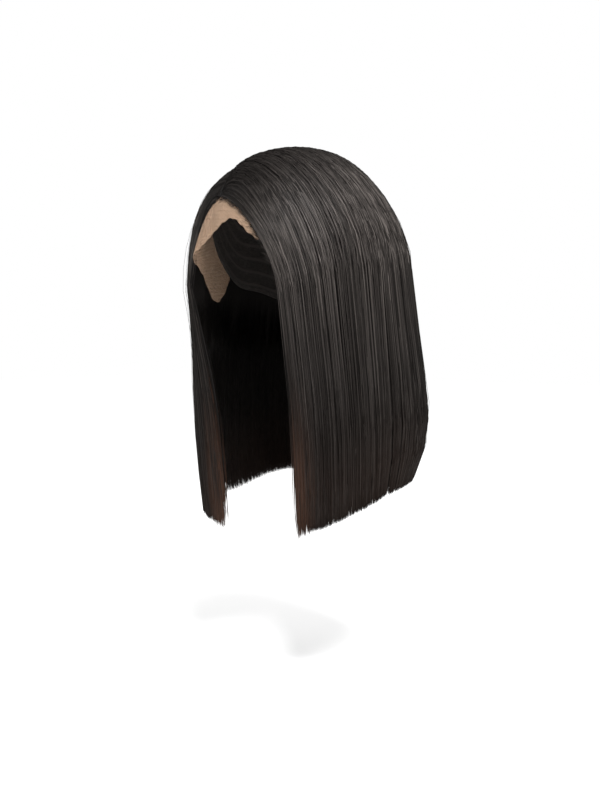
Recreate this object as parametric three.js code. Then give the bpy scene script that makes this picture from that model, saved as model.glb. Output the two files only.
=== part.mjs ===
// A lace front wig: a long straight bob of dark hair, parted on the wearer's right and carried by a net
// cap whose front is a sheer lace panel. Millimetres. The origin is the inside top of the cap, where the
// crown of the head sits. +Z is up, the face looks along -Y, and +X is the wearer's left.
import * as THREE from "three";
import { mergeVertices } from "three/addons/utils/BufferGeometryUtils.js";

// Driving dimensions

// Inside of the cap: a slightly squared ellipsoid of about 565 mm round the brow, a 22 inch head.
const HEAD = { half: 78, length: 97, height: 114, centreY: 3, square: 2.3 };
const CAP_WALL = 1.5;
const LACE_WALL = 1;
const GAP = 0.35;
const FLATS = 0.6; // room under the hair for the flats between its points
const HAIR_OFF = CAP_WALL + GAP + FLATS;

// The part runs straight back from the hairline to the crown, right of the middle.
const PART = { x: -26, frontY: -74, crownY: 22, cover: 4.5, slit: 0.2, crowding: 0.9 };

// Hair, outside. Around is 0 at the middle of the back, 1 at the left front edge and -1 at the right one.
const BACK_TO_SIDE = 0.58; // where around passes the widest point of a ring
const CROWN_FAN = 0.3; // strands nearer the back than this all leave from the crown
const FALL_CENTRE_Y = 5; // the fall thins and curls towards this point
const WIDEST_Y = 8;
const DOME_FULLNESS = { left: 0.84, right: 0.8 };
const DOME_SPREAD = { left: 0.97, right: 0.9 };
const FRONT_FULLNESS = 1.6; // the front edges lie close to the brow
const FLAT_FRONT = { left: 0.35, right: 0.12 }; // how far back from the front edge the dome stays plain
// Rise of the hair left of the part: steeper at the front, which starts at from, and fading to the front
// edge.
const LIFT = {
  left: 14,
  right: 0,
  front: 11,
  steep: 0.8,
  frontSteep: 0.5,
  from: 0.62,
  blend: 0.2,
  fade: 0.1,
};
const ROOT_CROWDING = 1.4; // power that draws the rows towards the roots
const BROW = { from: 0.65, blend: 0.15 }; // shares of the head's height where the brow passes into the crown
const HAIR_LEAST = 1.6;
const HAIR_THICK = 15;
const HAIR_EDGE = 5; // thickness at the front edges
const HAIR_DEEPEST = 60; // no dome of hair is as thick as this
const EDGE_REACH = { dome: 0.6, fall: 0.25 }; // how far back the front edges thin the hair
const HAIR_TIP_SHARE = 0.35; // share of the thickness left at the hem and at the front edges
const TIP_TAPER = 80;
const CURL = { depth: 17, reach: 75, power: 2.2, frontShare: 0.2, from: 0.38, blend: 0.3 };
const LOCK = { domeDepth: 1.5, tipDepth: 2.4, notch: 4, uneven: 2.5, vary: 0.3 };
const LOCK_WAVES = { width: 7.3, length: 4.1 }; // radians from one lock to the next
const LOCK_PROFILE = [1, 0.3, 0, 0.3]; // share of the groove's depth at the quarters of a lock
const LOCKS_A_SIDE = 9;
const LOCKS_AT_BACK = 8;
const DOME_ROWS = 14;
const FALL_ROWS = 7;

// Level sections of the outside of the hair, from the ears down. An edge is the x and y of a front
// corner.
const RINGS = [
  { z: -128, left: 104, right: 98, backY: 122, leftEdge: [52, -80], rightEdge: [76, -64], square: 2.3 },
  { z: -243, left: 115, right: 111, backY: 133, leftEdge: [61, -71], rightEdge: [46, -62], square: 2.6 },
  { z: -330, left: 116, right: 107, backY: 135, leftEdge: [66, -69], rightEdge: [41, -58], square: 2.6 },
];
const EARS_Z = RINGS[0].z;

// Heights of the hem on both sides: level behind, then dropping to long front corners.
const HEM_LINE = [
  { around: 0, left: -314, right: -314 },
  { around: 0.45, left: -315, right: -318 },
  { around: 0.5, left: -316, right: -323 },
  { around: 0.55, left: -318, right: -329 },
  { around: 0.6, left: -321, right: -334 },
  { around: 0.7, left: -330, right: -340 },
  { around: 0.8, left: -340, right: -344 },
  { around: 0.9, left: -349, right: -351 },
  { around: 1, left: -360, right: -361 },
];

// Edges on the head, in degrees. Around is measured from the middle of the face and down from the crown.
const CAP_RIM = [
  { around: -20, down: 37 },
  { around: 0, down: 34 },
  { around: 20, down: 37 },
  { around: 40, down: 47 },
  { around: 60, down: 64 },
  { around: 78, down: 82 },
  { around: 92, down: 93 },
  { around: 112, down: 97 },
  { around: 145, down: 106 },
  { around: 180, down: 110 },
];
const LACE_EDGE = [
  { around: -20, down: 73 },
  { around: 0, down: 64 },
  { around: 20, down: 73 },
  { around: 40, down: 81 },
  { around: 58, down: 90 },
  { around: 73, down: 102 },
  { around: 80, down: 99 },
  { around: 86, down: 92 },
];
const LACE_END = 86;
const LACE_FLARE = { around: -42, reach: 9, off: 6 }; // the right temple, where the lace stands off the head
const CAP_COLUMNS = 36;
const CAP_ROWS = 9;
const LACE_COLUMNS = 36;
const LACE_ROWS = 4;

// Small helpers

const radians = THREE.MathUtils.degToRad;
const mix = THREE.MathUtils.lerp;
const clamp = THREE.MathUtils.clamp;
const smooth = (t) => THREE.MathUtils.smoothstep(t, 0, 1);
const steps = (count) => Array.from({ length: count + 1 }, (_, i) => i / count);

// A column of a table at t, on a cubic through the rows.
function along(table, place, column, t) {
  const curve = new THREE.CubicInterpolant(
    table.map((row) => row[place]),
    table.map((row) => row[column]),
    1,
  );
  return curve.evaluate(t)[0];
}

// A closed body between two grids of points, outside[i][j] and inside[i][j]. Seen from outside, i runs
// left to right and j downwards. A ring's first and last columns are the same, so it has no ends, and
// rows that meet in one point close by themselves.
function wall(outside, inside, isRing = false) {
  const points = [];
  const triangle = (a, b, c) => {
    const flat = a.distanceTo(b) < 1e-4 || b.distanceTo(c) < 1e-4 || c.distanceTo(a) < 1e-4;
    if (!flat) points.push(a, b, c);
  };
  const quad = (a, b, c, d) => {
    triangle(a, b, c);
    triangle(a, c, d);
  };
  const last = outside.length - 1;
  const low = outside[0].length - 1;
  for (let i = 0; i < last; i++) {
    for (let j = 0; j < low; j++) {
      quad(outside[i][j], outside[i + 1][j], outside[i + 1][j + 1], outside[i][j + 1]);
      quad(inside[i][j], inside[i][j + 1], inside[i + 1][j + 1], inside[i + 1][j]);
    }
    quad(outside[i + 1][0], outside[i][0], inside[i][0], inside[i + 1][0]);
    quad(outside[i][low], outside[i + 1][low], inside[i + 1][low], inside[i][low]);
  }
  for (let j = 0; j < low && !isRing; j++) {
    quad(outside[0][j], outside[0][j + 1], inside[0][j + 1], inside[0][j]);
    quad(outside[last][j + 1], outside[last][j], inside[last][j], inside[last][j + 1]);
  }
  const geometry = mergeVertices(new THREE.BufferGeometry().setFromPoints(points), 1e-3);
  geometry.computeVertexNormals();
  return geometry;
}

// The head and what lies on it

const headCentre = new THREE.Vector3(0, HEAD.centreY, -HEAD.height);
const headAxes = (offset) =>
  new THREE.Vector3(HEAD.half + offset, HEAD.length + offset, HEAD.height + offset);

// Sum of the sizes of some shares of the head's axes, each raised to the head's squareness.
const squared = (...shares) => shares.reduce((sum, share) => sum + Math.abs(share) ** HEAD.square, 0);

// The point on the head's offset surface in the direction of a vector of shares of its axes.
function onSurface(shares, offset) {
  const size = squared(shares.x, shares.y, shares.z) ** (1 / HEAD.square);
  return shares.clone().divideScalar(size).multiply(headAxes(offset)).add(headCentre);
}

// A point this far off the head, at two angles in degrees.
function onHead(around, down, offset) {
  const a = radians(around);
  const d = radians(down);
  const shares = new THREE.Vector3(Math.sin(d) * Math.sin(a), -Math.sin(d) * Math.cos(a), Math.cos(d));
  return onSurface(shares, offset);
}

const sharesOf = (point, offset) => point.clone().sub(headCentre).divide(headAxes(offset));

// The point on the head's offset surface that lies under another point.
const underneath = (point, offset) => onSurface(sharesOf(point, offset), offset);

const capRim = (around) => along(CAP_RIM, "around", "down", Math.abs(around));
const laceEdge = (around) => along(LACE_EDGE, "around", "down", Math.abs(around));

// The net cap: one dome open below, from the lace seam over the crown to the nape.
function capGeometry() {
  const column = (offset) => (share) => {
    const around = 180 - 360 * share;
    return steps(CAP_ROWS).map((row) => onHead(around, row * capRim(around), offset));
  };
  const columns = steps(CAP_COLUMNS);
  return wall(columns.map(column(CAP_WALL)), columns.map(column(0)), true);
}

// The lace front: a sheer band from the seam, under the hair, to its cut edge on the forehead, with an
// ear tab at each end.
function laceGeometry() {
  const seamGap = THREE.MathUtils.radToDeg(GAP / HEAD.half);
  const column = (offset) => (share) => {
    const around = mix(LACE_END, -LACE_END, share);
    const seam = capRim(around) + seamGap;
    const flare = LACE_FLARE.off * Math.exp(-(((around - LACE_FLARE.around) / LACE_FLARE.reach) ** 2));
    return steps(LACE_ROWS).map((row) =>
      onHead(around, mix(seam, laceEdge(around), row), offset + flare * row ** 2),
    );
  };
  const columns = steps(LACE_COLUMNS);
  return wall(columns.map(column(LACE_WALL)), columns.map(column(0)));
}

// Hair

const isLeft = (around) => around >= 0;
const pick = (pair, around) => mix(pair.right, pair.left, smooth((around + CROWN_FAN) / (2 * CROWN_FAN)));

// A level section: a squared quarter from the middle of the back to the widest point, then a round
// quarter from there to the front edge.
function ringPoint(ring, around) {
  const u = Math.abs(around);
  const half = isLeft(around) ? ring.left : ring.right;
  const [edgeX, edgeY] = isLeft(around) ? ring.leftEdge : ring.rightEdge;
  const side = isLeft(around) ? 1 : -1;
  if (u < BACK_TO_SIDE) {
    const angle = ((u / BACK_TO_SIDE) * Math.PI) / 2;
    const x = half * Math.sin(angle) ** (2 / ring.square);
    const y = mix(WIDEST_Y, ring.backY, Math.cos(angle) ** (2 / ring.square));
    return new THREE.Vector3(side * x, y, ring.z);
  }
  const angle = (((u - BACK_TO_SIDE) / (1 - BACK_TO_SIDE)) * Math.PI) / 2;
  const x = mix(edgeX, half, Math.cos(angle));
  return new THREE.Vector3(side * x, mix(WIDEST_Y, edgeY, Math.sin(angle)), ring.z);
}

// Where a strand leaves the part: at the crown for the back, and nearer the hairline towards the front
// edge.
function rootPoint(around, slit) {
  const forward = smooth((Math.abs(around) - CROWN_FAN) / (1 - CROWN_FAN)) ** PART.crowding;
  const y = mix(PART.crownY, PART.frontY, forward);
  const x = PART.x + slit.x;
  const height = (1 - squared(x / HEAD.half, (y - HEAD.centreY) / HEAD.length)) ** (1 / HEAD.square);
  return new THREE.Vector3(x, y + slit.y, -HEAD.height * (1 - height) + PART.cover);
}

// A point inside the head's offset surface, moved out to it: level at the brow, straight out at the
// crown.
function clearOfHead(point, offset) {
  const from = sharesOf(point, offset);
  if (squared(from.x, from.y, from.z) >= 1) return point;
  const out = ((1 - squared(from.z)) / squared(from.x, from.y)) ** (1 / HEAD.square);
  const level = new THREE.Vector3(from.x * out, from.y * out, from.z);
  level.multiply(headAxes(offset)).add(headCentre);
  return level.lerp(underneath(point, offset), smooth((from.z - BROW.from) / BROW.blend));
}

// The outside over the dome: a full quarter ellipse from the part to the level of the ears, lifted beside
// the part, and never closer to the head than the least cover.
function domePoint(around, turn, slit) {
  const u = Math.abs(around);
  const root = rootPoint(around, slit);
  const foot = ringPoint(RINGS[0], around);
  const plainFront = isLeft(around) ? FLAT_FRONT.left : FLAT_FRONT.right;
  const fullness = mix(FRONT_FULLNESS, pick(DOME_FULLNESS, around), smooth((1 - u) / plainFront));
  const out = Math.sin(turn) ** pick(DOME_SPREAD, around);
  const front = isLeft(around) ? smooth((u - LIFT.from) / LIFT.blend) : 0;
  const rise = mix(pick(LIFT, around), LIFT.front, front);
  const fade = smooth((1 - u) / LIFT.fade);
  const lift = rise * fade * 4 * out ** mix(LIFT.steep, LIFT.frontSteep, front) * (1 - out) * (1 - out ** 3);
  const height = Math.max(0, Math.cos(turn)) ** fullness;
  const point = new THREE.Vector3(mix(root.x, foot.x, out), mix(root.y, foot.y, out), 0);
  point.z = mix(EARS_Z, root.z, height) + lift;
  return clearOfHead(point, HAIR_OFF + HAIR_LEAST);
}

// The underside over the dome: on the cap, but no deeper than the thin front edges allow.
function domeUnder(point, around) {
  const under = underneath(point, HAIR_OFF).sub(point);
  const most = mix(HAIR_EDGE, HAIR_DEEPEST, smooth((1 - Math.abs(around)) / EDGE_REACH.dome));
  return under.clampLength(0, most);
}

const hemZ = (around) => along(HEM_LINE, "around", isLeft(around) ? "left" : "right", Math.abs(around));

// Level direction from the middle of the fall to a point.
const outwards = (point) => new THREE.Vector3(point.x, point.y - FALL_CENTRE_Y, 0).normalize();

// The outside below the ears: straight between the level sections, then curling in above the hem.
function fallPoint(around, z, hem) {
  const lower = z > RINGS[1].z ? 1 : 2;
  const [above, below] = [RINGS[lower - 1], RINGS[lower]];
  const share = clamp((z - above.z) / (below.z - above.z), 0, 1);
  const point = ringPoint(above, around).lerp(ringPoint(below, around), share).setZ(z);
  const near = clamp(1 - (z - hem) / CURL.reach, 0, 1) ** CURL.power;
  const front = smooth((Math.abs(around) - CURL.from) / CURL.blend);
  const depth = CURL.depth * mix(1, CURL.frontShare, front);
  return point.addScaledVector(outwards(point), -depth * near);
}

// One column of the hair wall: its outside and inside points from the part to the hem. Groove is 1
// between two locks and 0 on the middle of one, and longer is how far the lock's tip hangs below the even
// hem.
function strand({ around, groove, longer }, slit) {
  const outside = [];
  const inside = [];
  for (const share of steps(DOME_ROWS)) {
    const point = domePoint(around, (share ** ROOT_CROWDING * Math.PI) / 2, slit);
    const under = domeUnder(point, around);
    const depth = Math.min(LOCK.domeDepth * share * groove, under.length() - HAIR_LEAST / 2);
    outside.push(point.clone().addScaledVector(under, depth / under.length()));
    inside.push(point.clone().add(under));
  }
  const foot = domePoint(around, Math.PI / 2, slit);
  const overhang = domeUnder(foot, around);
  const hem = hemZ(around) - longer + LOCK.notch * groove ** 2;
  const edge = mix(HAIR_TIP_SHARE, 1, smooth((1 - Math.abs(around)) / EDGE_REACH.fall));
  for (const share of steps(FALL_ROWS).slice(1)) {
    const z = mix(EARS_Z, hem, share);
    const point = fallPoint(around, z, hem);
    const taper = mix(HAIR_TIP_SHARE, 1, smooth((z - hem) / TIP_TAPER));
    const level = outwards(point).multiplyScalar(-HAIR_THICK * edge * taper);
    const depth = mix(LOCK.domeDepth, LOCK.tipDepth, share) * groove * edge;
    inside.push(point.clone().add(overhang.clone().lerp(level, smooth((EARS_Z - z) / TIP_TAPER))));
    outside.push(point.clone().addScaledVector(outwards(point), -depth));
  }
  return { outside, inside };
}

// The columns of a section of hair, four to a lock, with locks of uneven width and length.
function lockColumns(from, to, count) {
  const wave = (share) => Math.sin(LOCK_WAVES.width * share * count + from);
  const widths = steps(count - 1).map((share) => 1 + LOCK.vary * wave(share));
  const total = widths.reduce((sum, width) => sum + width, 0);
  const columns = [];
  let start = 0;
  widths.forEach((width, lock) => {
    const longer = LOCK.uneven * Math.sin(LOCK_WAVES.length * lock + to);
    LOCK_PROFILE.forEach((groove, quarter) => {
      const place = (start + (width * quarter) / LOCK_PROFILE.length) / total;
      columns.push({ around: mix(from, to, place), groove, longer: groove === 1 ? 0 : longer });
    });
    start += width;
  });
  columns.push({ around: to, groove: 1, longer: 0 });
  return columns;
}

function hairGeometry(from, to, count, slit) {
  const strands = lockColumns(from, to, count).map((column) => strand(column, slit));
  return wall(
    strands.map(({ outside }) => outside),
    strands.map(({ inside }) => inside),
  );
}

// Finishes

const hairFinish = () => new THREE.MeshStandardMaterial({ color: 0x1d1815, roughness: 0.45, metalness: 0 });
const capFinish = new THREE.MeshStandardMaterial({ color: 0x15120f, roughness: 0.9, metalness: 0 });
const laceFinish = new THREE.MeshStandardMaterial({ color: 0xc9a283, roughness: 0.85, metalness: 0 });

// The wig

function piece(name, geometry, finish) {
  const mesh = new THREE.Mesh(geometry, finish);
  mesh.name = name;
  return mesh;
}

const sectionGap = 0.0012; // half the space between two sections, in around
const sides = CROWN_FAN + sectionGap;
const back = CROWN_FAN - sectionGap;
const wig = new THREE.Group();
wig.name = "lace_front_wig";
wig.add(
  piece("cap", capGeometry(), capFinish),
  piece("lace_front", laceGeometry(), laceFinish),
  piece("hair_left", hairGeometry(sides, 1, LOCKS_A_SIDE, { x: PART.slit, y: 0 }), hairFinish()),
  piece("hair_right", hairGeometry(-1, -sides, LOCKS_A_SIDE, { x: -PART.slit, y: 0 }), hairFinish()),
  piece("hair_back", hairGeometry(-back, back, LOCKS_AT_BACK, { x: 0, y: 2 * PART.slit }), hairFinish()),
);

export default wig;
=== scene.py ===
# A lace front wig: a long straight bob of dark hair, parted on the wearer's right, on a net cap with a lace
# front. Lengths are in millimetres until a mesh is made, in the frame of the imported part: the origin is the
# inside top of the cap, +Z is up, the face looks along -Y and +X is the wearer's left.
import bpy
import numpy as np
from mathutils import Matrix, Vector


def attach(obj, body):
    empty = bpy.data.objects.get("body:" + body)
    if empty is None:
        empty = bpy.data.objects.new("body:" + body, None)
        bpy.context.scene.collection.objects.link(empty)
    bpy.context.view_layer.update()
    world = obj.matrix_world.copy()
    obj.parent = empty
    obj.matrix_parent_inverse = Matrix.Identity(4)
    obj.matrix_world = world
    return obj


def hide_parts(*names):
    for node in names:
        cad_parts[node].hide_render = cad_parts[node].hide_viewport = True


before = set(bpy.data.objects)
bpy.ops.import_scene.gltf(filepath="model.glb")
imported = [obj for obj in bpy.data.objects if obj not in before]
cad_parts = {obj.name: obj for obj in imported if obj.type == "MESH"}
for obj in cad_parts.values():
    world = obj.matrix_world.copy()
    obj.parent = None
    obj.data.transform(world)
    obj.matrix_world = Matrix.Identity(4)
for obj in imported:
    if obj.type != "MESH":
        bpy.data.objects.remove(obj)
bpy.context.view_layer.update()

# The cap
# A dome of dark stretch net, cut and sewn to the shape of a head, from the lace seam to the nape. The hair
# is sewn to its outside, so that only its inside shows, through the open face and from below.
MM = 0.001
BODY = "root"
CHART = "OFBake"
WELD_DIGITS = 5
HEAD_AXES = np.array([78.0, 97.0, 114.0])
HEAD_CENTRE = np.array([0.0, 3.0, -114.0])
HEAD_SQUARE = 2.3
CAP_WALL = 1.5
# Edge of the cap in degrees: around from the middle of the face, and down from the crown
CAP_RIM = np.array([
    [-20, 37], [0, 34], [20, 37], [40, 47], [60, 64], [78, 82], [92, 93], [112, 97], [145, 106], [180, 110],
], float)
CAP_COLUMNS, CAP_ROWS = 120, 44
CAP_SEWN_ROWS = 15
CAP_BLACK = (0.007, 0.006, 0.005, 1)
CAP_THREAD = (0.026, 0.022, 0.020, 1)
CAP_ROUGHNESS, CAP_SPECULAR = 0.85, 0.15
CAP_CELL, CAP_CELL_UNEVEN = 1.4, 0.9
# Where the threads start to fade and where they end, in shares of a cell, and the seams, in shares of a row
CAP_THREAD_CORE, CAP_THREAD_EDGE = 0.04, 0.2
CAP_SEAM_CORE, CAP_SEAM_EDGE = 0.08, 0.16
CAP_RELIEF, CAP_RELIEF_HEIGHT = 0.6, 0.0006


def mix(a, b, share):
    """The value that lies this share of the way from a to b."""
    return a + (b - a) * share


def smooth(t):
    """A ramp from 0 to 1 that starts and ends level: 3t squared less 2t cubed."""
    t = np.clip(t, 0, 1)
    return t * t * (3 - 2 * t)


def along(table, t):
    """The table's second column at t, on a cubic through its rows. The slope at a row comes from the rows on
    either side of it."""
    place, value = table.T
    slope = np.gradient(value, place)
    t = np.clip(t, place[0], place[-1])
    i = np.clip(np.searchsorted(place, t) - 1, 0, len(place) - 2)
    span = place[i + 1] - place[i]
    s = (t - place[i]) / span
    bend = s * (1 - s) * span * (slope[i] * (1 - s) - slope[i + 1] * s)
    chord = value[i + 1] - value[i]
    return value[i] + chord * smooth(s) + bend


def on_head(around, down, off):
    """The point of the head's squared ellipsoid, swollen by off, at two angles in degrees: around from the
    middle of the face to the wearer's left, and down from the crown."""
    a, d = np.radians(around), np.radians(down)
    shares = np.stack([np.sin(d) * np.sin(a), -np.sin(d) * np.cos(a), np.cos(d) + 0 * a], -1)
    size = (np.abs(shares) ** HEAD_SQUARE).sum(-1, keepdims=True) ** (1 / HEAD_SQUARE)
    off = np.asarray(off)[..., None]
    return HEAD_CENTRE + shares / size * (HEAD_AXES + off)


def wall(outside, inside, is_ring=False):
    """A closed wall between two grids of points with columns from left to right, seen from outside, and rows
    downwards: both faces, then strips along the top, the hem and, unless the columns go right round, the two
    ends. Points in one place become one, as at a pole. Returns points, triangles, and the number that each
    point had in the two grids."""
    columns, rows = outside.shape[:2]
    index = np.arange(columns * rows).reshape(columns, rows)
    under = index + columns * rows

    def strips(a, b, c, d):
        """Two triangles for each four corners: a, b, c and a, c, d."""
        a, b, c, d = a.ravel(), b.ravel(), c.ravel(), d.ravel()
        return [np.stack([a, b, c], -1), np.stack([a, c, d], -1)]

    faces = strips(index[:-1, :-1], index[1:, :-1], index[1:, 1:], index[:-1, 1:])
    faces += strips(under[:-1, :-1], under[:-1, 1:], under[1:, 1:], under[1:, :-1])
    faces += strips(index[1:, 0], index[:-1, 0], under[:-1, 0], under[1:, 0])
    faces += strips(index[:-1, -1], index[1:, -1], under[1:, -1], under[:-1, -1])
    if not is_ring:
        faces += strips(index[0, :-1], index[0, 1:], under[0, 1:], under[0, :-1])
        faces += strips(index[-1, 1:], index[-1, :-1], under[-1, :-1], under[-1, 1:])
    points = np.concatenate([outside.reshape(-1, 3), inside.reshape(-1, 3)])
    _, kept, same = np.unique(points.round(WELD_DIGITS), axis=0, return_index=True, return_inverse=True)
    faces = same[np.concatenate(faces)]
    apart = (faces != np.roll(faces, 1, 1)).all(1)
    return points[kept], faces[apart], kept


def piece(name, points, faces, finish, slot, node, chart=None, **marks):
    """A smooth mesh of points in millimetres and triangles, with a number for each point under each mark's
    name, and a place for each point on a flat chart, if one is given. It stands for the node and rides on the
    body."""
    mesh = bpy.data.meshes.new(name)
    mesh.vertices.add(len(points))
    mesh.vertices.foreach_set("co", (points * MM).astype(np.float32).ravel())
    mesh.loops.add(faces.size)
    mesh.loops.foreach_set("vertex_index", faces.astype(np.int32).ravel())
    mesh.polygons.add(len(faces))
    mesh.polygons.foreach_set("loop_start", np.arange(0, faces.size, 3, dtype=np.int32))
    mesh.polygons.foreach_set("use_smooth", np.ones(len(faces), bool))
    for mark, values in marks.items():
        attribute = mesh.attributes.new(mark, "FLOAT", "POINT")
        attribute.data.foreach_set("value", values.astype(np.float32).ravel())
    if chart is not None:
        corners = chart[faces.ravel()].astype(np.float32)
        mesh.uv_layers.new(name=CHART).data.foreach_set("uv", corners.ravel())
    mesh.update(calc_edges=True)
    mesh.validate()
    mesh.materials.append(finish)
    made = bpy.data.objects.new(name, mesh)
    bpy.context.collection.objects.link(made)
    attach(made, BODY)
    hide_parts(node)
    return made


def finish_of(name, roughness, specular):
    """A material with one Principled shader, and a maker of linked nodes for it."""
    made = bpy.data.materials.new(name)
    made.use_nodes = True
    nodes, links = made.node_tree.nodes, made.node_tree.links
    shader = nodes["Principled BSDF"]
    shader.inputs["Roughness"].default_value = roughness
    shader.inputs["Specular IOR Level"].default_value = specular

    def node(kind, inputs=(), **settings):
        """A new node with these settings, each of its inputs linked to a socket or given its own value."""
        new = nodes.new(kind)
        for key, value in settings.items():
            setattr(new, key, value)
        for key, value in dict(inputs).items():
            if isinstance(value, bpy.types.NodeSocket):
                links.new(value, new.inputs[key])
            else:
                new.inputs[key].default_value = value
        return new

    return made, shader, node, links


def worked_out(node, operation, *values):
    """One number worked out from others by a named operation."""
    return node("ShaderNodeMath", dict(enumerate(values)), operation=operation).outputs["Value"]


def falling(node, value, start, end):
    """A number that falls in a straight line from 1, where the value is start, to 0, where it is end."""
    limits = {"From Min": start, "From Max": end, "To Min": 1.0, "To Max": 0.0}
    return node("ShaderNodeMapRange", {"Value": value, **limits}).outputs["Result"]


def blended(node, share, a, b):
    """The colour that lies this share of the way from a to b."""
    return node("ShaderNodeMix", {"Factor": share, "A": a, "B": b}, data_type="RGBA").outputs["Result"]


def cap_finish():
    """Net of dark thread: the ground between the threads is darkest, by the distance to the edge of a fine
    cell. A raised seam runs round wherever the mark called row is half way between two whole numbers."""
    made, shader, node, links = finish_of("cap_net", CAP_ROUGHNESS, CAP_SPECULAR)
    place = node("ShaderNodeTexCoord").outputs["Object"]
    cells = node("ShaderNodeTexVoronoi",
                 {"Vector": place, "Scale": 1 / (CAP_CELL * MM), "Randomness": CAP_CELL_UNEVEN},
                 feature="DISTANCE_TO_EDGE")
    thread = falling(node, cells.outputs["Distance"], CAP_THREAD_CORE, CAP_THREAD_EDGE)
    row = node("ShaderNodeAttribute", attribute_name="row").outputs["Fac"]
    share = worked_out(node, "FRACT", row)
    away = worked_out(node, "ABSOLUTE", worked_out(node, "SUBTRACT", share, 0.5))
    seam = falling(node, away, CAP_SEAM_CORE, CAP_SEAM_EDGE)
    height = worked_out(node, "MAXIMUM", thread, seam)
    links.new(blended(node, height, CAP_BLACK, CAP_THREAD), shader.inputs["Base Color"])
    raised = node("ShaderNodeBump", {"Height": height, "Strength": CAP_RELIEF, "Distance": CAP_RELIEF_HEIGHT})
    links.new(raised.outputs["Normal"], shader.inputs["Normal"])
    return made


cap_around, cap_share = np.meshgrid(
    180 - 360 * np.linspace(0, 1, CAP_COLUMNS + 1), np.linspace(0, 1, CAP_ROWS + 1), indexing="ij")
cap_down = cap_share * along(CAP_RIM, np.abs(cap_around))
cap_points, cap_faces, cap_kept = wall(
    on_head(cap_around, cap_down, CAP_WALL), on_head(cap_around, cap_down, 0), True)
cap_row = np.tile((cap_share * CAP_SEWN_ROWS).ravel(), 2)[cap_kept]
cap = piece("cap_dome", cap_points, cap_faces, cap_finish(), "cap_net", "cap", row=cap_row)

# The lace front
# A sheer tan net sewn to the front of the cap. It lies on the brow, ends in a raw cut edge in front of the
# hairline and in a tab before each ear, and stands off the head at the right temple.
LACE_END = 86
# Cut edge of the lace, in degrees around and down as for the cap
LACE_EDGE = np.array([
    [-20, 73], [0, 64], [20, 73], [40, 81], [58, 90], [73, 102], [80, 99], [86, 92],
], float)
SEAM_GAP = 0.6
CUT_WAVE, CUT_WAVES = 0.35, 0.9
# The flare at the right temple: middle and reach in degrees, how far off, and the most of the way down
FLARE_AROUND, FLARE_REACH, FLARE_OFF, FLARE_MOST = -42, 9, 6, 1.1
LACE_LOW, LACE_HIGH = 0.4, 0.55
LACE_COLUMNS, LACE_ROWS = 172, 40
# The flat chart of the net: its width, where the middle of the face stands on it, and the scale both ways
LACE_CHART = 260.0
LACE_CHART_START = np.array([0.5, 0.0])
MM_A_DEGREE_AROUND, MM_A_DEGREE_DOWN = 1.45, 1.75
LACE_TAN = (0.46, 0.30, 0.195, 1)
LACE_PALE = (0.56, 0.40, 0.285, 1)
LACE_ROUGHNESS, LACE_SPECULAR = 0.75, 0.2
LACE_CELL, LACE_CELL_UNEVEN = 1.15, 0.4
LACE_THREAD_CORE, LACE_THREAD_EDGE = 0.03, 0.09
LACE_PATCHES, LACE_PATCH_DETAIL = 40.0, 3.0
KNOT_BROWN = (0.03, 0.018, 0.012, 1)
KNOT_SPACING, KNOT_UNEVEN = 1.7, 0.8
KNOT_CORE, KNOT_EDGE = 0.12, 0.3
KNOT_REACH = 14.0


def on_lace(around, down, off):
    """A point of the lace: on the head, and off it where the right temple flares, growing with the square of
    the share of the way from the seam to the edge."""
    seam = along(CAP_RIM, np.abs(around))
    share = np.clip((down - seam) / (along(LACE_EDGE, np.abs(around)) - seam), 0, FLARE_MOST)
    flare = FLARE_OFF * np.exp(-(((around - FLARE_AROUND) / FLARE_REACH) ** 2))
    return on_head(around, down, off + flare * share ** 2)


def lace_finish():
    """Sheer net: clear in the middle of each fine cell of the chart, and matt tan thread at its edges. Near
    the hairline, by the mark called knots, a dark knot stands in the middle of each cell of a wider net."""
    made, shader, node, links = finish_of("lace", LACE_ROUGHNESS, LACE_SPECULAR)
    place = node("ShaderNodeUVMap", uv_map=CHART).outputs["UV"]
    scale = LACE_CHART / LACE_CELL
    net = node("ShaderNodeTexVoronoi", {"Vector": place, "Scale": scale, "Randomness": LACE_CELL_UNEVEN},
               feature="DISTANCE_TO_EDGE", voronoi_dimensions="2D")
    thread = falling(node, net.outputs["Distance"], LACE_THREAD_CORE, LACE_THREAD_EDGE)
    middle = node("ShaderNodeTexVoronoi",
                  {"Vector": place, "Scale": scale / KNOT_SPACING, "Randomness": KNOT_UNEVEN},
                  voronoi_dimensions="2D")
    dot = falling(node, middle.outputs["Distance"], KNOT_CORE, KNOT_EDGE)
    knots = node("ShaderNodeAttribute", attribute_name="knots").outputs["Fac"]
    knot = worked_out(node, "MULTIPLY", dot, knots)
    patches = node("ShaderNodeTexNoise",
                   {"Vector": place, "Scale": LACE_PATCHES, "Detail": LACE_PATCH_DETAIL})
    colour = blended(node, patches.outputs["Fac"], LACE_TAN, LACE_PALE)
    links.new(blended(node, knot, colour, KNOT_BROWN), shader.inputs["Base Color"])
    links.new(worked_out(node, "MAXIMUM", thread, knot), shader.inputs["Alpha"])
    return made


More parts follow.
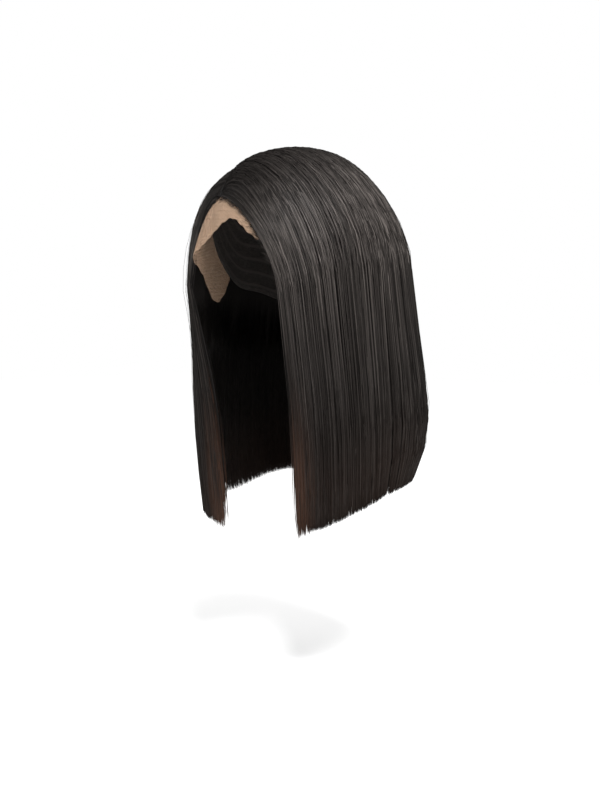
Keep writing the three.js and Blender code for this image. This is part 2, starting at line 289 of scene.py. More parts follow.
lace_around, lace_share = np.meshgrid(
    np.linspace(LACE_END, -LACE_END, LACE_COLUMNS + 1), np.linspace(0, 1, LACE_ROWS + 1), indexing="ij")
lace_seam = along(CAP_RIM, np.abs(lace_around)) + SEAM_GAP
lace_cut = along(LACE_EDGE, np.abs(lace_around)) + CUT_WAVE * np.sin(lace_around * CUT_WAVES) * lace_share
lace_down = mix(lace_seam, lace_cut, lace_share)
lace_points, lace_faces, lace_kept = wall(
    on_lace(lace_around, lace_down, LACE_HIGH), on_lace(lace_around, lace_down, LACE_LOW))
lace_flat = np.stack([lace_around * MM_A_DEGREE_AROUND, lace_down * MM_A_DEGREE_DOWN], -1)
lace_chart = lace_flat / LACE_CHART + LACE_CHART_START
lace_knots = smooth(1 - (lace_down - lace_seam) * MM_A_DEGREE_DOWN / KNOT_REACH)
lace = piece("lace_panel", lace_points, lace_faces, lace_finish(), "lace", "lace_front",
             chart=np.tile(lace_chart.reshape(-1, 2), (2, 1))[lace_kept],
             knots=np.tile(lace_knots.ravel(), 2)[lace_kept])

# The body of the hair
# The mass of hair under the outermost strands, in three sections that meet at the part and behind the ears:
# sewn to the cap in rows, combed into soft locks, straight from the ears down, and curled under behind.
WIDEST_Y, FALL_CENTRE_Y = 8.0, 5.0
# The part: its place across, its front end and the crown, the cover of hair over it, and how its roots crowd
PART_X, PART_FRONT_Y, CROWN_Y, PART_COVER, PART_CROWDING = -26.0, -74.0, 22.0, 4.5, 0.9
# Around, from 0 at the middle of the back to 1 at a front edge: the widest place, and the end of the crown
BACK_TO_SIDE, CROWN_FAN = 0.58, 0.3
# Powers for the height over the dome and for the way out, and how far round the front's own height reaches
FULLNESS_LEFT, FULLNESS_RIGHT, FULLNESS_FRONT = 0.84, 0.80, 1.6
SPREAD_LEFT, SPREAD_RIGHT = 0.97, 0.9
PLAIN_LEFT, PLAIN_RIGHT = 0.35, 0.12
# Rise of the hair left of the part, there and at the front, with the powers that make it steep
LIFT_LEFT, LIFT_FRONT = 14.0, 11.0
STEEP_BACK, STEEP_FRONT = 0.8, 0.5
LIFT_FROM, LIFT_BLEND = 0.62, 0.2
LIFT_FADE = 0.1
# Shares of the head's height where the brow passes into the crown
BROW_FROM, BROW_BLEND = 0.65, 0.15
ROOT_CROWDING = 1.4
# The underside off the head, then the thickness: least, most over the dome, in the fall and at front edges
HAIR_OFF = CAP_WALL + 0.95
HAIR_LEAST, HAIR_MOST, HAIR_THICK, HAIR_EDGE = 1.6, 60.0, 15.0, 5.0
# How far round the thin edges reach, the share of the wall left there and at the hem, and over what height
DOME_EDGE_REACH, FALL_EDGE_REACH = 0.6, 0.25
TIP_SHARE, TIP_TAPER = 0.35, 80.0
# The curl: depth, height over the hem, power, and its share in front, with the place around where that starts
CURL_DEPTH, CURL_REACH, CURL_POWER, CURL_FRONT = 17.0, 75.0, 2.2, 0.2
CURL_FROM, CURL_BLEND = 0.38, 0.3
# Level sections from the ears down: height, half width left, half width right, back, left front corner across
# and forward, right front corner across and forward, squareness
RINGS = np.array([
    [-128, 104, 98, 122, 52, -80, 76, -64, 2.3],
    [-243, 115, 111, 133, 61, -71, 46, -62, 2.6],
    [-330, 116, 107, 135, 66, -69, 41, -58, 2.6],
], float)
EARS_Z = RINGS[0, 0]
# The hem: around, then its height on the left and on the right
HEM_LINE = np.array([
    [0, -314, -314],
    [0.45, -315, -318],
    [0.5, -316, -323],
    [0.55, -318, -329],
    [0.6, -321, -334],
    [0.7, -330, -340],
    [0.8, -340, -344],
    [0.9, -349, -351],
    [1, -360, -361],
], float)
LOCK_WIDTH, LOCK_DEPTH, LOCK_ROUND = 0.062, 1.0, 0.6
# Slow waves that make the locks uneven: size in locks, speed and start
LOCK_WAVES = [(0.5, 17, 1), (0.35, 41, 0)]
# How deep the body lies under the outside: in millimetres, and the most at the roots and below as shares
BODY_DEPTH, BODY_ROOT_SHARE, BODY_SHARE, BODY_ROOT_REACH = 3.6, 0.85, 0.62, 0.3
INSIDE_ROOT_SHARE, INSIDE_HEM_SHARE = 0.97, 0.75
# How far above the hem the body ends: everywhere, and further at front edges, between locks and in a wave
BODY_HEM_LIFT, BODY_EDGE_LIFT, BODY_GROOVE_LIFT, BODY_WAVE_LIFT, BODY_WAVES = 8.0, 60, 3, 2, 97
BODY_THIN_FROM = 0.86
# The body's tone, near the darkest: painted shade for the mass of hair under the strands
BODY_SHADE_TONE = 0.02
DOME_ROWS, FALL_ROWS = 26, 26
# Each section: around from and to, and its columns
SECTIONS = {"hair_left": (CROWN_FAN, 1.0, 120), "hair_right": (-1.0, -CROWN_FAN, 110),
            "hair_back": (-CROWN_FAN, CROWN_FAN, 110)}
HAIR_DARK = (0.0020, 0.0016, 0.0014, 1)
HAIR_BROWN = (0.088, 0.077, 0.071, 1)
TIP_BROWN = (0.075, 0.036, 0.022, 1)
# Shares of the roughness that the darkest and the palest hair has
DARK_ROUGHNESS, PALE_ROUGHNESS = 1.15, 0.75
TINY = 1e-9


def to_left(around):
    """0 right of the back, 1 left of it, with a soft change across the back."""
    return smooth((around + CROWN_FAN) / (2 * CROWN_FAN))


def ring_point(ring, around):
    """A level section: a squared quarter from the middle of the back, around 0, to the widest point, then a
    round quarter to the front corner, around 1 on the left and -1 on the right. Returns x and y."""
    _, half_left, half_right, back_y, left_x, left_y, right_x, right_y, square = ring
    left = around >= 0
    u = np.abs(around)
    half = np.where(left, half_left, half_right)
    edge_x, edge_y = np.where(left, left_x, right_x), np.where(left, left_y, right_y)
    a = np.clip(u / BACK_TO_SIDE, 0, 1) * np.pi / 2
    f = np.clip((u - BACK_TO_SIDE) / (1 - BACK_TO_SIDE), 0, 1) * np.pi / 2
    power = 2 / square
    x = np.where(u < BACK_TO_SIDE, half * np.sin(a) ** power, mix(edge_x, half, np.cos(f)))
    y_back = mix(WIDEST_Y, back_y, np.abs(np.cos(a)) ** power)
    y = np.where(u < BACK_TO_SIDE, y_back, mix(WIDEST_Y, edge_y, np.sin(f)))
    return np.where(left, x, -x), y


def squared(*shares):
    """The sum of the sizes of the shares, each raised to the head's squareness."""
    return sum(np.abs(share) ** HEAD_SQUARE for share in shares)


def under_point(points, off):
    """The point of the head, swollen by off, that lies under each point on the line to the head's centre."""
    shares = (points - HEAD_CENTRE) / (HEAD_AXES + off)
    size = squared(*np.moveaxis(shares, -1, 0))[..., None] ** (1 / HEAD_SQUARE)
    return HEAD_CENTRE + (points - HEAD_CENTRE) / size


def dome_point(around, turn):
    """The outside over the dome: from the part at turn 0 to the level of the ears at a quarter turn. The plan
    goes straight, by a power of the sine, and the height by a power of the cosine, with a lift beside the
    part. What would lie inside the head moves out to it, level at the brow and straight at the crown."""
    u = np.abs(around)
    forward = smooth((u - CROWN_FAN) / (1 - CROWN_FAN)) ** PART_CROWDING
    root_y = mix(CROWN_Y, PART_FRONT_Y, forward)
    bare = squared(PART_X / HEAD_AXES[0], (root_y - HEAD_CENTRE[1]) / HEAD_AXES[1])
    root_z = HEAD_CENTRE[2] + HEAD_AXES[2] * (1 - bare) ** (1 / HEAD_SQUARE) + PART_COVER
    foot_x, foot_y = ring_point(RINGS[0], around)
    plain = np.where(around >= 0, PLAIN_LEFT, PLAIN_RIGHT)
    full = mix(FULLNESS_RIGHT, FULLNESS_LEFT, to_left(around))
    fullness = mix(FULLNESS_FRONT, full, smooth((1 - u) / plain))
    out = np.sin(turn) ** mix(SPREAD_RIGHT, SPREAD_LEFT, to_left(around))
    front = smooth((u - LIFT_FROM) / LIFT_BLEND) * (around >= 0)
    rise = mix(LIFT_LEFT * to_left(around), LIFT_FRONT, front) * smooth((1 - u) / LIFT_FADE)
    lift = rise * 4 * out ** mix(STEEP_BACK, STEEP_FRONT, front) * (1 - out) * (1 - out ** 3)
    height = np.maximum(np.cos(turn), 0) ** fullness
    z = mix(EARS_Z, root_z, height) + lift
    points = np.stack([mix(PART_X, foot_x, out), mix(root_y, foot_y, out), z], -1)
    axes = HEAD_AXES + HAIR_OFF + HAIR_LEAST
    shares = (points - HEAD_CENTRE) / axes
    x, y, z = np.moveaxis(shares, -1, 0)
    grow = (np.clip(1 - squared(z), 0, 1) / np.maximum(squared(x, y), TINY)) ** (1 / HEAD_SQUARE)
    level = HEAD_CENTRE + axes * np.stack([x * grow, y * grow, z], -1)
    straight = under_point(points, HAIR_OFF + HAIR_LEAST)
    moved = mix(level, straight, smooth((z - BROW_FROM) / BROW_BLEND)[..., None])
    return np.where((squared(x, y, z) < 1)[..., None], moved, points)


def outwards(points):
    """Level directions from the middle of the fall to the points."""
    flat = (points - np.array([0, FALL_CENTRE_Y, 0])) * np.array([1, 1, 0])
    return flat / np.linalg.norm(flat, axis=-1, keepdims=True)


def fall_point(around, z, hem):
    """The outside below the ears: each size of the level sections runs down a cubic, and the hair curls in
    above the hem, by a power of how near it is."""
    sizes = [along(RINGS[:, [0, column]] * [-1, 1], -z) for column in range(RINGS.shape[1])]
    x, y = ring_point(sizes, around)
    points = np.stack([x, y, z + 0 * x], -1)
    near = np.clip(1 - (z - hem) / CURL_REACH, 0, 1) ** CURL_POWER
    front = smooth((np.abs(around) - CURL_FROM) / CURL_BLEND)
    depth = CURL_DEPTH * mix(1, CURL_FRONT, front) * near
    return points - outwards(points) * depth[..., None]


def dome_under(points, around):
    """From the outside over the dome to the underside: on the cap, or less deep at the thin front edges."""
    under = under_point(points, HAIR_OFF) - points
    length = np.linalg.norm(under, axis=-1)
    most = mix(HAIR_EDGE, HAIR_MOST, smooth((1 - np.abs(around)) / DOME_EDGE_REACH))
    return under * np.minimum(1, most / length)[..., None]


def fall_under(points, around, hem):
    """From the outside of the fall to the underside: as deep as over the ears at first, then an even wall
    that thins to the hem and to the front edges."""
    foot = dome_point(around, np.full_like(around, np.pi / 2))
    edge = mix(TIP_SHARE, 1, smooth((1 - np.abs(around)) / FALL_EDGE_REACH))
    taper = mix(TIP_SHARE, 1, smooth((points[..., 2] - hem) / TIP_TAPER))
    level = outwards(points) * -(HAIR_THICK * edge * taper)[..., None]
    lower = smooth((EARS_Z - points[..., 2]) / TIP_TAPER)[..., None]
    return mix(dome_under(foot, around), level, lower)


def hem_z(around):
    """Height of the hem, from the table's column for that side."""
    u = np.abs(around)
    return np.where(around >= 0, along(HEM_LINE[:, [0, 1]], u), along(HEM_LINE[:, [0, 2]], u))


def lock_groove(around):
    """0 on the middle of a lock and 1 between two: 1 less a power of the sine of the place, with widths made
    uneven by slow waves."""
    place = around / LOCK_WIDTH
    for size, speed, start in LOCK_WAVES:
        place = place + size * np.sin(speed * around + start)
    return 1 - np.abs(np.sin(np.pi * place)) ** LOCK_ROUND


def hair_body(start, end, columns):
    """The wall of one section: its outside a little under the strands, grooved into locks that deepen towards
    a ragged hem, and its inside on the cap and down the back of the fall."""
    around = np.linspace(start, end, columns + 1)[:, None]
    groove = lock_groove(around)
    thin = smooth((np.abs(around) - BODY_THIN_FROM) / (1 - BODY_THIN_FROM))
    hem = hem_z(around)
    low = hem + BODY_HEM_LIFT + BODY_EDGE_LIFT * thin + BODY_GROOVE_LIFT * groove
    low = low + BODY_WAVE_LIFT * np.sin(BODY_WAVES * around)
    turn = np.linspace(0, 1, DOME_ROWS + 1)[None, :] ** ROOT_CROWDING * np.pi / 2
    z = mix(EARS_Z, low, np.linspace(0, 1, FALL_ROWS + 1)[None, 1:])
    grid = np.broadcast_to
    dome_around = grid(around, (columns + 1, DOME_ROWS + 1))
    fall_around = grid(around, z.shape)
    dome = dome_point(dome_around, grid(turn, dome_around.shape))
    under = dome_under(dome, dome_around)
    fall = fall_point(fall_around, z, grid(hem, z.shape))
    back = fall_under(fall, fall_around, grid(hem, z.shape))
    points = np.concatenate([dome, fall], 1)
    inward = np.concatenate([under, back], 1)
    deep = np.linalg.norm(inward, axis=-1)
    share = np.linspace(0, 1, points.shape[1])[None, :]
    most = deep * mix(BODY_ROOT_SHARE, BODY_SHARE, smooth(share / BODY_ROOT_REACH))
    sunk = np.minimum(BODY_DEPTH + LOCK_DEPTH * groove * share, most)
    inside = inward * mix(INSIDE_ROOT_SHARE, INSIDE_HEM_SHARE, share)[..., None]
    return wall(points + inward * (sunk / deep)[..., None], points + inside)


def hair_finish(name, roughness, specular):
    """Off-black fibre: each strand has its own tone from dark to brown, the mark called tone, which also
    holds painted sheen and painted shade, and the ends, by the mark called reach, fade to a warmer brown. The
    paler a strand is, the glossier."""
    made, shader, node, links = finish_of(name, roughness, specular)
    tone = node("ShaderNodeAttribute", attribute_name="tone").outputs["Fac"]
    reach = node("ShaderNodeAttribute", attribute_name="reach").outputs["Fac"]
    colour = blended(node, tone, HAIR_DARK, HAIR_BROWN)
    links.new(blended(node, reach, colour, TIP_BROWN), shader.inputs["Base Color"])
    limits = {"To Min": roughness * DARK_ROUGHNESS, "To Max": roughness * PALE_ROUGHNESS}
    gloss = node("ShaderNodeMapRange", {"Value": tone, **limits})
    links.new(gloss.outputs["Result"], shader.inputs["Roughness"])
    return made


body_finish = hair_finish("hair_body", roughness=0.6, specular=0.08)
for node_name, (start, end, columns) in SECTIONS.items():
    body_points, body_faces, _ = hair_body(start, end, columns)
    still = np.zeros(len(body_points))
    piece(node_name + "_body", body_points, body_faces, body_finish, "hair", node_name,
          tone=still + BODY_SHADE_TONE, reach=still)

# The strands
# Straight fibres combed from the part and the crown over the body of the hair to the hem, in fine wisps that
# each lean their own way. They are drawn thicker than real hairs, each standing for a few that lie together.
SEED = 11
STRAND_COUNTS = {"hair_left": 2500, "hair_right": 2150, "hair_back": 2350}
# Stations over the dome, drawn to the roots, and down the fall, drawn to the hem, with one more at the tip
DOME_STATIONS, STRAND_CROWDING = 10, 1.6
FALL_STATIONS, HEM_CROWDING, BLUNT = 4, 0.5, 0.98
# Share of a strand's length that lies over the dome
DOME_LENGTH = 0.45
# How deep a strand lies under the outside, in millimetres, and the most of the wall that it lies under
STRAND_DEEPEST, STRAND_WALL_SHARE = 0.9, 0.4
STRAND_LOOSE = 0.0022
# Wisps: their width around and their number, then their depth, their lean and the wave along them
WISP = 0.0026
WISPS = int(2 / WISP) + 2
WISP_DEEPEST, WISP_LEAN = 0.7, 0.004
WISP_WAVE, WISP_WAVES = 0.0018, 5
# Stray hairs: how many, their mean and most rise, and how far along it reaches, in shares of the length
STRAY_SHARE, STRAY_RISE, STRAY_MOST = 0.03, 1.5, 5.0
STRAY_SHORT, STRAY_LONG = 0.6, 1.6
# Ends: how far the lowest lie under the hem, and how unevenly the rest lie above it, there and at the thin
# front corners
TIP_LOWEST, TIP_UNEVEN, TIP_EDGE_UNEVEN = 1, 1.9, 22
TIP_THIN_FROM = 0.88
EDGE_LOOSE = 1.6
# Width of a strand, and as shares of it the least and most, and what is left at the root, at the end and on
# a stray hair
STRAND_WIDTH, WIDTH_LEAST, WIDTH_MOST = 0.6, 0.7, 1.3
ROOT_WIDTH, ROOT_REACH = 0.5, 0.1
END_WIDTH, END_TAPER, END_TAPER_THIN = 0.5, 0.06, 0.16
STRAY_WIDTH = 0.5
# Powers of the chances of a pale wisp and of a pale strand, both mostly dark, and the share of the wisp's
# tone in a strand's
WISP_TONE, OWN_TONE, WISP_TONE_SHARE = (1.0, 3.2), (0.4, 1.5), 0.4
# How pale a strand is by the share of its length from the root: painted shade, darkest at both ends, with a
# band of painted sheen between
SHEEN_AND_SHADE_ALONG = np.array([[0, 0.2], [0.12, 0.4], [0.27, 1.45], [0.42, 1.0], [0.6, 0.6], [0.8, 0.28], [1, 0.18]])
TONE_PATCHY = 0.75
# Where the ends start to fade to a warmer brown, and how far they go, in full and in thin hair
FADE_FROM, FADE, FADE_THIN = 0.7, 0.06, 0.5
# The chart of tones: its margin, its span, and how far apart the corners of a section lie
TONE_CHART_EDGE, TONE_CHART_SPAN, TONE_CHART_APART = 0.02, 0.94, 0.012
rng = np.random.default_rng(SEED)
wisp_tone = rng.beta(*WISP_TONE, WISPS)
wisp_depth = rng.uniform(0, WISP_DEEPEST, WISPS)
wisp_lean = rng.normal(0, WISP_LEAN, WISPS)
wisp_wave = rng.uniform(0, 2 * np.pi, WISPS)
wisp_shift = rng.random(WISPS)
strand_finish = hair_finish("hair_strands", roughness=0.4, specular=0.05)


def evenly(count):
    """Shares of a whole in order, one at random in each of as many equal parts."""
    return ((np.arange(count) + rng.random(count)) / count)[:, None]


def wisp_of(around):
    """The number of the wisp that each strand belongs to."""
    return np.floor((around + 1) / WISP).astype(int)


def fibres(paths, widths, tone, reach):
    """Three-cornered tubes carried along the paths, an array of strands by stations, closed to a point at
    both ends. A section's corners stand round the path on its sideways direction and on the direction out
    from the head. Returns points, triangles and the two marks."""
    count, stations = paths.shape[:2]
    forward = np.gradient(paths, axis=1)
    middle = np.stack([0 * paths[..., 0], 0 * paths[..., 0] + FALL_CENTRE_Y,
                       np.minimum(paths[..., 2], HEAD_CENTRE[2])], -1)
    side = np.cross(forward, paths - middle)
    side /= np.maximum(np.linalg.norm(side, axis=-1, keepdims=True), TINY)
    out = np.cross(side, forward)
    out /= np.maximum(np.linalg.norm(out, axis=-1, keepdims=True), TINY)
    turn = np.radians([90, 210, 330])
    spread = np.cos(turn)[:, None] * side[:, 1:-1, None] + np.sin(turn)[:, None] * out[:, 1:-1, None]
    rings = paths[:, 1:-1, None] + spread * (widths[:, 1:-1] / 2)[..., None, None]
    points = np.concatenate([paths[:, :1], rings.reshape(count, -1, 3), paths[:, -1:]], 1)
    a = 1 + np.arange((stations - 2) * 3).reshape(-1, 3)
    b = np.roll(a, -1, 1)
    last = 1 + a.size
    sides = [np.stack([a[:-1], b[:-1], b[1:]], -1), np.stack([a[:-1], b[1:], a[1:]], -1)]
    ends = [np.stack([b[0], a[0], 0 * a[0]], -1), np.stack([a[-1], b[-1], 0 * a[-1] + last], -1)]
    one = np.concatenate([f.reshape(-1, 3) for f in sides + ends])[:, ::-1]
    faces = (one[None] + (np.arange(count) * points.shape[1])[:, None, None]).reshape(-1, 3)

    def at_points(mark):
        """One number for each end of a strand, and three for each section between them."""
        return np.concatenate([mark[:, :1], np.repeat(mark[:, 1:-1], 3, 1), mark[:, -1:]], 1).ravel()

    return points.reshape(-1, 3), faces, at_points(tone), at_points(reach)


def combed(around, depth, tip, dome_shares, fall_shares):
    """Paths from the part over the dome to the ears and down to each strand's own tip. Around and depth, in
    millimetres under the outside but no more than a share of the wall, are given for every station. The roots
    go down to the cap."""
    split = dome_shares.shape[1]
    dome = dome_point(around[:, :split], dome_shares * np.pi / 2)
    low = around[:, split:]
    hem = hem_z(low)
    fall = fall_point(low, mix(EARS_Z, tip[:, None], fall_shares), hem)
    points = np.concatenate([dome, fall], 1)
    inward = np.concatenate([dome_under(dome, around[:, :split]), fall_under(fall, low, hem)], 1)
    wall_depth = np.linalg.norm(inward, axis=-1)
    depth = np.minimum(depth, STRAND_WALL_SHARE * wall_depth)
    depth[:, 0] = wall_depth[:, 0]
    return points + inward * (depth / wall_depth)[..., None]


def wander(around, share, loose):
    """Around for every station: the wisp leans a little and drifts in a slow wave, and each strand has a lean
    of its own besides, of this standard deviation."""
    wisp = wisp_of(around)
    wave = WISP_WAVE * np.sin(share * WISP_WAVES + wisp_wave[wisp]) * share
    lean = (wisp_lean[wisp] + rng.normal(0, loose, around.shape)) * share
    return np.clip(around + wave + lean, -1, 1)


def tones(around):
    """A tone for each strand: partly its wisp's and partly its own, both mostly dark."""
    own = rng.beta(*OWN_TONE, around.shape)
    return np.clip(WISP_TONE_SHARE * wisp_tone[wisp_of(around)] + (1 - WISP_TONE_SHARE) * own, 0, 1)


def toned_chart(tone, reach):
    """Places on a chart of the finish, where tone runs across and reach upwards, so that one chart holds
    every strand. The three corners of a section lie a little apart, so that every face has a width there."""
    apart = np.resize(np.arange(3) * TONE_CHART_APART, tone.shape)
    across = TONE_CHART_EDGE + TONE_CHART_SPAN * tone + apart
    upwards = TONE_CHART_EDGE + TONE_CHART_SPAN * reach + apart[::-1]
    return np.stack([across, upwards], -1)


def tip_heights(around):
    """Where strands end: at random from a little under the hem upwards, and far more unevenly at the front
    corners. Returns heights, and how thin the hair is there, from 0 to 1."""
    thin = smooth((np.abs(around) - TIP_THIN_FROM) / (1 - TIP_THIN_FROM))
    count = len(around)
    uneven = np.abs(rng.normal(0, TIP_UNEVEN, count)) + rng.exponential(TIP_EDGE_UNEVEN, count) * thin
    return hem_z(around) - TIP_LOWEST + uneven, thin


def edge_spread(thin):
    """How far each strand's tip drifts from a front edge over the open face: by chance, and in thin hair."""
    return rng.exponential(EDGE_LOOSE, (len(thin), 1)) * thin[:, None]


def strand_piece(name, node_name, paths, widths, tone, reach):
    """One mesh of many fibres, which stands for the node."""
    points, faces, tone, reach = fibres(paths, widths, tone, reach)
    piece(name, points, faces, strand_finish, "hair", node_name, toned_chart(tone, reach),
          tone=tone, reach=reach)


for node_name, count in STRAND_COUNTS.items():
    start, end = SECTIONS[node_name][:2]
    around = mix(start, end, evenly(count))
    shift = wisp_shift[wisp_of(around)]
    dome_shares = ((np.arange(DOME_STATIONS) + shift) / DOME_STATIONS) ** STRAND_CROWDING
    dome_shares[:, 0] = 0
    fall_shares = ((np.arange(FALL_STATIONS) + shift) / (FALL_STATIONS - 1 + shift)) ** HEM_CROWDING * BLUNT
    fall_shares = np.append(fall_shares, np.ones((count, 1)), 1)
    share = np.concatenate([dome_shares * DOME_LENGTH, mix(DOME_LENGTH, 1, fall_shares)], 1)
    place = wander(around, share, STRAND_LOOSE)
    rise = rng.exponential(STRAY_RISE, (count, 1)).clip(0, STRAY_MOST)
    stray = (rng.random((count, 1)) < STRAY_SHARE) * rise
    lifted = np.sin(np.pi * smooth(share / rng.uniform(STRAY_SHORT, STRAY_LONG, (count, 1))))
    depth = rng.uniform(0, STRAND_DEEPEST, (count, 1)) + wisp_depth[wisp_of(around)]
    depth = depth + LOCK_DEPTH * lock_groove(place) * share - stray * lifted
    tip, thin = tip_heights(around[:, 0])
    paths = combed(place, depth, tip, dome_shares, fall_shares)
    paths[..., 0] -= np.sign(around) * edge_spread(thin) * share
    widths = STRAND_WIDTH * rng.uniform(WIDTH_LEAST, WIDTH_MOST, (count, 1))
    widths = widths * mix(ROOT_WIDTH, 1, smooth(share / ROOT_REACH))
    taper = mix(END_TAPER, END_TAPER_THIN, thin[:, None])
    widths = widths * mix(END_WIDTH, 1, smooth((1 - share) / taper)) * mix(1, STRAY_WIDTH, stray > 0)
    reach = smooth((share - FADE_FROM) / (1 - FADE_FROM)) * mix(FADE, FADE_THIN, thin[:, None])
    # Its random tone, times the painted sheen and painted shade along the strand
    tone = tones(around) * along(SHEEN_AND_SHADE_ALONG, share)
    tone = tone * rng.uniform(1 - TONE_PATCHY, 1 + TONE_PATCHY, share.shape)
    strand_piece(node_name + "_strands", node_name, paths, widths, tone, reach)

# The tips and the inside
# Shorter fibres fill the thickness of the wall down to the hem, so that it ends in an uneven brush and not
# in a cut face, and others line the inside of the fall, which shows past the open face. Both are darkened
# as painted shade, the lining most.
TIP_COUNTS = {"hair_left": 3200, "hair_right": 2800, "hair_back": 3000}
# Stations from the start of a tip to its end, drawn to the end
TIP_FALL = np.array([0, 0.3, 0.56, 0.78, 0.96, 1])
TIP_START = 95.0
TIP_LOOSE = 0.008
TIP_WIDTH, TIP_END_WIDTH, TIP_END_REACH = 0.45, 0.4, 0.1
TIP_FADE_FROM, TIP_FADE, TIP_FADE_THIN = 0.5, 0.05, 0.4
# Depths as shares of the wall, and tones as shares of a strand's, for what fills the wall and what lines it:
# painted shade, darker in the wall and darkest on the inside of the fall
FILL_LEAST, FILL_MOST, FILL_SHADE = 0.1, 0.95, 0.5
LINING_LEAST, LINING_MOST, LINING_SHADE = 0.9, 1.02, 0.05
LINING_SHARE, LINING_UNEVEN = 0.4, 25

for node_name, count in TIP_COUNTS.items():
    start, end = SECTIONS[node_name][:2]
    share = TIP_FALL[None, :]
    around = mix(start, end, evenly(count))
    place = wander(around, share, TIP_LOOSE)
    tip, thin = tip_heights(around[:, 0])
    lining = rng.random(count) < LINING_SHARE
    top = np.where(lining, EARS_Z - rng.uniform(0, LINING_UNEVEN, count), hem_z(around[:, 0]) + TIP_START)
    hem = hem_z(place)
    outside = fall_point(place, mix(top[:, None], tip[:, None], share), hem)
    inward = fall_under(outside, place, hem)
    lining_depth = rng.uniform(LINING_LEAST, LINING_MOST, count)
    deep = np.where(lining, lining_depth, rng.uniform(FILL_LEAST, FILL_MOST, count))
    paths = outside + inward * deep[:, None, None]
    paths[..., 0] -= np.sign(around) * edge_spread(thin) * share
    widths = TIP_WIDTH * rng.uniform(WIDTH_LEAST, WIDTH_MOST, (count, 1))
    widths = widths * mix(TIP_END_WIDTH, 1, smooth((1 - share) / TIP_END_REACH))
    fade = mix(TIP_FADE, TIP_FADE_THIN, thin[:, None])
    reach = smooth((share - TIP_FADE_FROM) / (1 - TIP_FADE_FROM)) * fade
    # Painted shade: the fill at half a strand's tone, the lining at a twentieth
    shade = np.where(lining, LINING_SHADE, FILL_SHADE)[:, None]
    strand_piece(node_name + "_tips", node_name, paths, widths, tones(around) * shade + 0 * share, reach)

# The hairline
# Short fine hairs knotted one by one into the lace in front of the parted hair. They start thin and loose on
# the brow and are combed back under the strands at the front edges, so that the hairline is soft.
HAIRLINE_COUNTS = {"hair_left": 420, "hair_right": 300}
# Shares of the way from the part to the ears where the hairline ends
HAIRLINE_TURNS = {"hair_left": 0.68, "hair_right": 0.5}
HAIRLINE_STATIONS = np.linspace(0, 1, 8)
# The knots: where the hair's edge gets its forward direction, and their most and mean distance before it
HAIRLINE_BEHIND, HAIRLINE_REACH = 0.97, 7.0
HAIRLINE_MEAN = HAIRLINE_REACH / 3
# The bends and the ends: around, and further turns from the knot
BEND_AROUND, BEND_NEAR, BEND_FAR = 0.995, 0.02, 0.1
END_LEAST_AROUND, END_MOST_AROUND, END_NEAR, END_FAR = 0.93, 0.99, 0.12, 0.4
HAIRLINE_TUCK = 0.45
HAIRLINE_WIDTH, HAIRLINE_THINNEST, HAIRLINE_THICKEST = 0.3, 0.6, 1.3
HAIRLINE_KNOT_WIDTH, HAIRLINE_KNOT_REACH = 0.6, 0.3
HAIRLINE_TONE = (1, 5)


def hairline(side, count, farthest):
    """Curves with three controls: from a knot on the lace, a few millimetres before the front edge, up past
    the edge to a point further down the comb, tucked under the strands by a share of the wall."""
    turn = rng.uniform(0, farthest, count) * np.pi / 2
    edge = dome_point(np.full(count, float(side)), turn)
    behind = dome_point(np.full(count, side * HAIRLINE_BEHIND), turn)
    forward = edge - behind
    forward /= np.linalg.norm(forward, axis=-1, keepdims=True)
    knot = edge + forward * rng.exponential(HAIRLINE_MEAN, (count, 1)).clip(0, HAIRLINE_REACH)
    knot = under_point(knot, LACE_HIGH)
    inner = side * rng.uniform(END_LEAST_AROUND, END_MOST_AROUND, count)
    end = dome_point(inner, turn + rng.uniform(END_NEAR, END_FAR, count))
    end = end + dome_under(end, inner) * HAIRLINE_TUCK
    middle = dome_point(np.full(count, side * BEND_AROUND), turn + rng.uniform(BEND_NEAR, BEND_FAR, count))
    s = HAIRLINE_STATIONS[None, :, None]
    return knot[:, None] * (1 - s) ** 2 + middle[:, None] * 2 * s * (1 - s) + end[:, None] * s ** 2


for node_name, count in HAIRLINE_COUNTS.items():
    side = 1 if node_name == "hair_left" else -1
    paths = hairline(side, count, HAIRLINE_TURNS[node_name])
    share = HAIRLINE_STATIONS[None, :]
    widths = HAIRLINE_WIDTH * rng.uniform(HAIRLINE_THINNEST, HAIRLINE_THICKEST, (count, 1))
    widths = widths * mix(HAIRLINE_KNOT_WIDTH, 1, smooth(share / HAIRLINE_KNOT_REACH))
    tone = rng.beta(*HAIRLINE_TONE, (count, 1)) + 0 * share
    strand_piece(node_name + "_hairline", node_name, paths, widths, tone, 0 * widths)

# The floor, the lights and the camera
# A pale floor well under the hem and a white room with a large soft light over the front, as for a catalogue
# picture. The camera looks at the wearer's left front from a little above the middle of the hair.
FLOOR_Z = -500.0
FLOOR_HALF = 6.0
WHITE = (1, 1, 1, 1)
ROOM_STRENGTH = 1.0
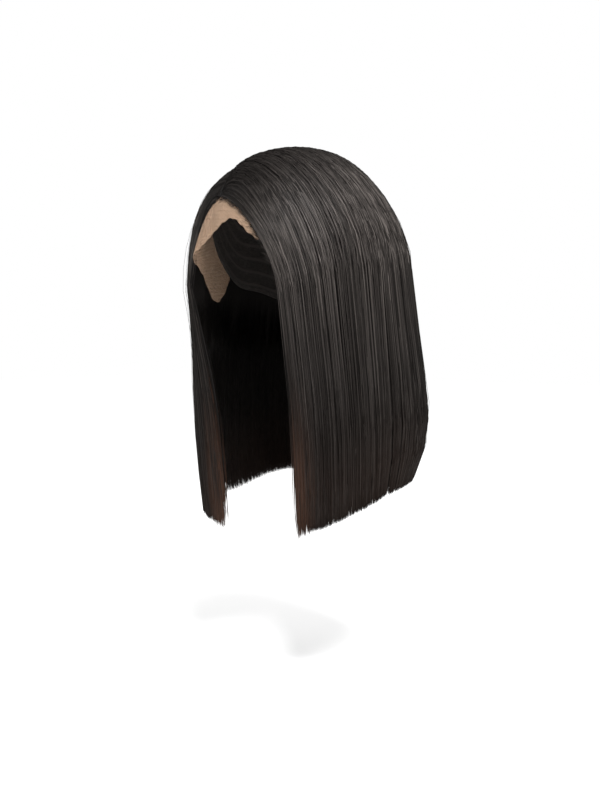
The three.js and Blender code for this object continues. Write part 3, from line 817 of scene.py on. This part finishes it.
# The soft light, in metres and watts
LIGHT_PLACE, LIGHT_AIM = (1.1, -0.85, 1.3), (0.0, 0.0, -0.15)
LIGHT_SIZE, LIGHT_POWER = 0.7, 85
CAMERA_TURN = 40.0
CAMERA_DISTANCE = 1500.0
CAMERA_Z = -156.0
PHOTO_WIDTH, PHOTO_HEIGHT = 600, 800
PHOTO_AXIS_X, PHOTO_LEVEL_Y = 292, 320
PIXELS_A_MM = 1.03

floor_mesh = bpy.data.meshes.new("floor")
corners = np.array([[-1, -1], [1, -1], [1, 1], [-1, 1]]) * FLOOR_HALF
floor_mesh.from_pydata([(x, y, FLOOR_Z * MM) for x, y in corners], [], [(0, 1, 2, 3)])
floor_finish, floor_shader, _, _ = finish_of("floor", roughness=1.0, specular=0.0)
floor_shader.inputs["Base Color"].default_value = WHITE
floor_mesh.materials.append(floor_finish)
floor = bpy.data.objects.new("floor", floor_mesh)
bpy.context.collection.objects.link(floor)

scene = bpy.context.scene
scene.view_settings.view_transform = "Standard"
scene.world = bpy.data.worlds.new("white_room")
scene.world.use_nodes = True
room = scene.world.node_tree.nodes["Background"]
room.inputs["Color"].default_value = WHITE
room.inputs["Strength"].default_value = ROOM_STRENGTH


def towards(start, end):
    """The turn that points an object's -Z from start to end, with its Y upwards."""
    return (end - start).to_track_quat("-Z", "Y").to_euler()


lamp = bpy.data.lights.new("key", "AREA")
lamp.size = LIGHT_SIZE
lamp.energy = LIGHT_POWER
light = bpy.data.objects.new("key", lamp)
light.location = LIGHT_PLACE
light.rotation_euler = towards(light.location, Vector(LIGHT_AIM))
bpy.context.collection.objects.link(light)

turn = np.radians(CAMERA_TURN)
back = np.array([np.sin(turn), -np.cos(turn), 0.0])
right = np.array([np.cos(turn), np.sin(turn), 0.0])
focal = PIXELS_A_MM * CAMERA_DISTANCE
aim = -back * focal + right * (PHOTO_WIDTH / 2 - PHOTO_AXIS_X)
aim = aim - np.array([0, 0, 1]) * (PHOTO_HEIGHT / 2 - PHOTO_LEVEL_Y)
camera = bpy.data.objects.new("camera", bpy.data.cameras.new("camera"))
camera.data.lens = focal / PHOTO_HEIGHT * camera.data.sensor_width
camera.location = (back * CAMERA_DISTANCE + np.array([0, 0, CAMERA_Z])) * MM
camera.rotation_euler = towards(camera.location, camera.location + Vector(aim))
bpy.context.collection.objects.link(camera)
scene.camera = camera
